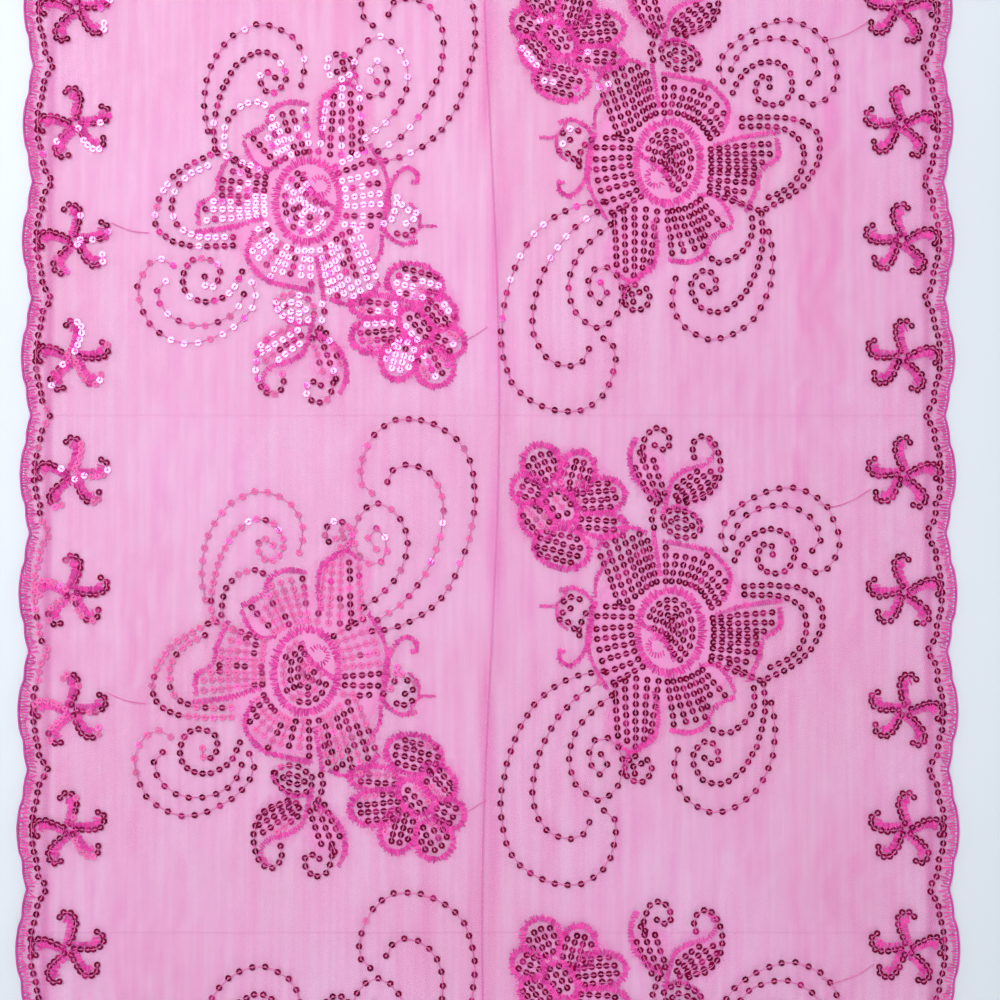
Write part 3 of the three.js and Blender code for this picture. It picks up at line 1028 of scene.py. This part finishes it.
def thread_piece(name, lines, radius, material):
    """One piece of thread of an even thickness along each line."""
    curve = bpy.data.curves.new(name, "CURVE")
    curve.dimensions = "3D"
    curve.bevel_depth = radius
    curve.bevel_resolution = 0
    curve.use_fill_caps = True
    for line in lines:
        spline = curve.splines.new("POLY")
        spline.points.add(len(line) - 1)
        for point, place in zip(spline.points, line):
            point.co = (*place, 1)
    holder = bpy.data.objects.new("holder", curve)
    bpy.context.scene.collection.objects.link(holder)
    bpy.context.view_layer.update()
    made = bpy.data.meshes.new_from_object(holder.evaluated_get(bpy.context.evaluated_depsgraph_get()))
    bpy.data.objects.remove(holder)
    bpy.data.curves.remove(curve)
    return finished(name, made, material)


def worked(name, works, node):
    """The sequins, satin and running thread of one embroidered piece, standing for its solid."""
    sequins, stitches, lines = [], [], []
    for work, placing in works:
        sequins += sequin_marks(work, placing)
        stitches += stitch_marks(work, placing)
        lines += thread_lines(work, placing)
    cords = [[placing.point(point) for point in cord] for work, placing in works for cord in work.cords]
    pieces = [
        set_out(f"{name}_satin", STITCH_SHAPE, stitches, SATIN),
        set_out(f"{name}_sequins", SEQUIN_SHAPE, sequins, SEQUIN),
        thread_piece(f"{name}_thread", lines, THREAD_RADIUS, RUNNING),
    ]
    if cords:
        lines = [[(x, y, net_height(x, y) + CORD_RADIUS) for x, y in cord] for cord in cords]
        pieces.append(thread_piece(f"{name}_cord", lines, CORD_RADIUS, CORD))
    for piece in pieces:
        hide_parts(node)


# ---- The net ----


def edge_short(y_mm):
    """How far the scalloped edge lies in from the widest, at a distance along the shawl."""
    pitch = STAR_PITCH / MM
    along = y_mm % pitch
    stops = SCALLOP + [(pitch, SCALLOP[0][1])]
    for (a, short_a), (b, short_b) in zip(stops, stops[1:]):
        if along <= b:
            return short_a + (short_b - short_a) * (along - a) / (b - a)
    return stops[-1][1]


GROUND_FADE = 7 * MM
GROUNDS_MM = [(-2, 2, 45), (-58.5, 67.5, 29), (-14, 86, 12), (12, 80, 13), (-22, -48, 17)]


def worked_grounds():
    """The round patches of net under the embroidery, where the net is drawn denser, for its backing thread,
    and lighter, as painted light that offsets the sequins' shade: middle and reach.
    """
    grounds = []
    for side in (1, -1):
        for i in range(REPEATS):
            y = (i - (REPEATS - 1) / 2) * REPEAT + side * SPRAY_STAGGER
            for dx, dy, reach in GROUNDS_MM:
                grounds.append((side * (SPRAY_LINE + dx * MM), y + side * dy * MM, reach * MM))
    return grounds


def net_piece():
    """The net as a fine grid at its own height, with closer columns at the middle crease."""
    columns = round(2 * HALF_WIDTH / GRID_ACROSS)
    rows = round(2 * HALF_LENGTH / GRID_ALONG)
    form = bmesh.new()
    bmesh.ops.create_grid(form, x_segments=columns, y_segments=rows, size=1)
    folds = form.verts.layers.float_vector.new("folds")
    steep = form.verts.layers.float.new("steep")
    backing_and_light_layer = form.verts.layers.float.new("worked")
    grounds = worked_grounds()
    for vert in form.verts:
        y = vert.co.y * (HALF_LENGTH - NET_SHORT)
        y_mm = y / MM
        half = HALF_WIDTH - edge_short(y_mm) * MM - NET_NARROW
        x = vert.co.x * half
        crest = (CREASE["middle"] + wander(CREASE, y_mm)) * MM
        near = (x - crest) / CREASE_GRID["span"]
        if abs(near) < 1:
            x = crest + CREASE_GRID["span"] * near * abs(near) ** CREASE_GRID["power"]
        vert.co = (x, y, net_height(x, y))
        cross_fold = max(-CROSS["each_way"], min(CROSS["each_way"], round(y_mm / CROSS["pitch"])))
        slope = abs(net_height(x + SLOPE_STEP, y) - net_height(x - SLOPE_STEP, y)) / (2 * SLOPE_STEP)
        vert[steep] = min(1.0, STEEP_SHOWS * slope)
        # How far inside an embroidered ground: the material makes the net there denser and paints it lighter,
        # to offset the sequins' shade.
        inside = max(reach - math.hypot(x - gx, y - gy) for gx, gy, reach in grounds)
        vert[backing_and_light_layer] = min(1.0, max(0.0, inside / GROUND_FADE))
        # Distances to the middle crease, the nearest cross crease and the pucker line, along which the
        # material paints crease shade.
        vert[folds] = (x - crest, y - cross_fold * CROSS["pitch"] * MM, abs(x) - PUCKER_SHADE_LINE)
    mesh = bpy.data.meshes.new("net")
    for face in form.faces:
        face.smooth = True
    form.to_mesh(mesh)
    form.free()
    net = finished("net", mesh, NET)
    wall = net.modifiers.new("wall", "SOLIDIFY")
    wall.thickness = NET_WALL
    wall.offset = -1
    return net


net = net_piece()
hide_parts("net_panel", "hem_head", "hem_foot")

# ---- Borders and sprays ----

STAR_SWAY = 0.05
STAR = star()
for side, name in ((-1, "left"), (1, "right")):
    works = [(border(side), Placing(0, 0))]
    count = REPEATS * STARS_PER_REPEAT
    for i in range(count):
        y = (i - (count - 1) / 2) * STAR_PITCH
        works.append((STAR, Placing(side * STAR_LINE, y, random.gauss(0, STAR_SWAY), side)))
    worked(f"edging_{name}", works, f"edging_{name}")

for side, name in ((1, "right"), (-1, "left")):
    work = spray(name)
    for i in range(REPEATS):
        y = (i - (REPEATS - 1) / 2) * REPEAT + side * SPRAY_STAGGER
        placing = Placing(side * SPRAY_LINE, y, 0 if side > 0 else math.pi)
        worked(f"spray_{name}_{i + 1}", [(work, placing)], f"spray_{name}_{i + 1}")

for shape in (SEQUIN_SHAPE, STITCH_SHAPE):
    bpy.data.objects.remove(shape)

# ---- The room: table, light and camera ----


def table_top():
    form = bmesh.new()
    bmesh.ops.create_grid(form, x_segments=1, y_segments=1, size=2)
    mesh = bpy.data.meshes.new("table")
    form.to_mesh(mesh)
    form.free()
    mesh.materials.append(table_material())
    table = bpy.data.objects.new("table", mesh)
    bpy.context.scene.collection.objects.link(table)


def lamp(name, place, aim, size, power, colour=(1, 1, 1)):
    light = bpy.data.lights.new(name, "AREA")
    light.color = colour
    light.shape = "DISK"
    light.size = size
    light.energy = power
    holder = bpy.data.objects.new(name, light)
    holder.location = place
    holder.rotation_euler = (Vector(aim) - Vector(place)).to_track_quat("-Z", "Y").to_euler()
    bpy.context.scene.collection.objects.link(holder)


AIM = Vector((6.5 * MM, -45.3 * MM, 0))
FRAME_WIDTH = 536 * MM
CAMERA_TILT = math.radians(1.45)
LENS_MM = 50
SENSOR_MM = 36


def camera():
    data = bpy.data.cameras.new("camera")
    data.lens = LENS_MM
    data.sensor_width = SENSOR_MM
    distance = FRAME_WIDTH * LENS_MM / SENSOR_MM
    holder = bpy.data.objects.new("camera", data)
    holder.rotation_euler = Euler((CAMERA_TILT, 0, 0))
    holder.location = AIM + Vector((0, -math.sin(CAMERA_TILT), math.cos(CAMERA_TILT))) * distance
    bpy.context.scene.collection.objects.link(holder)
    bpy.context.scene.camera = holder


def world_light(colour, strength):
    world = bpy.data.worlds.new("studio")
    world.use_nodes = True
    world.node_tree.nodes["Background"].inputs["Color"].default_value = (*colour, 1)
    world.node_tree.nodes["Background"].inputs["Strength"].default_value = strength
    bpy.context.scene.world = world


table_top()
lamp("key", (-0.26, 0.36, 1.12), (-0.10, 0.10, 0), 0.43, 8.5)
lamp("sheen", (-0.40, -0.12, 1.3), (-0.10, -0.04, 0), 0.56, 2.7)
for name, place, power in (
    ("panel_left", (-1.8, 0.3, 0.95), 9.8),
    ("panel_back", (-0.1, 1.9, 0.95), 11.8),
    ("panel_right", (1.8, 0.0, 0.95), 13.6),
    ("panel_front", (0.1, -1.9, 0.95), 18.6),
):
    lamp(name, place, (0, 0, 0), 1.4, power, (0.93, 0.98, 1.0))
world_light((0.94, 0.97, 1.0), 0.04)
camera()
bpy.context.scene.view_settings.view_transform = "Standard"
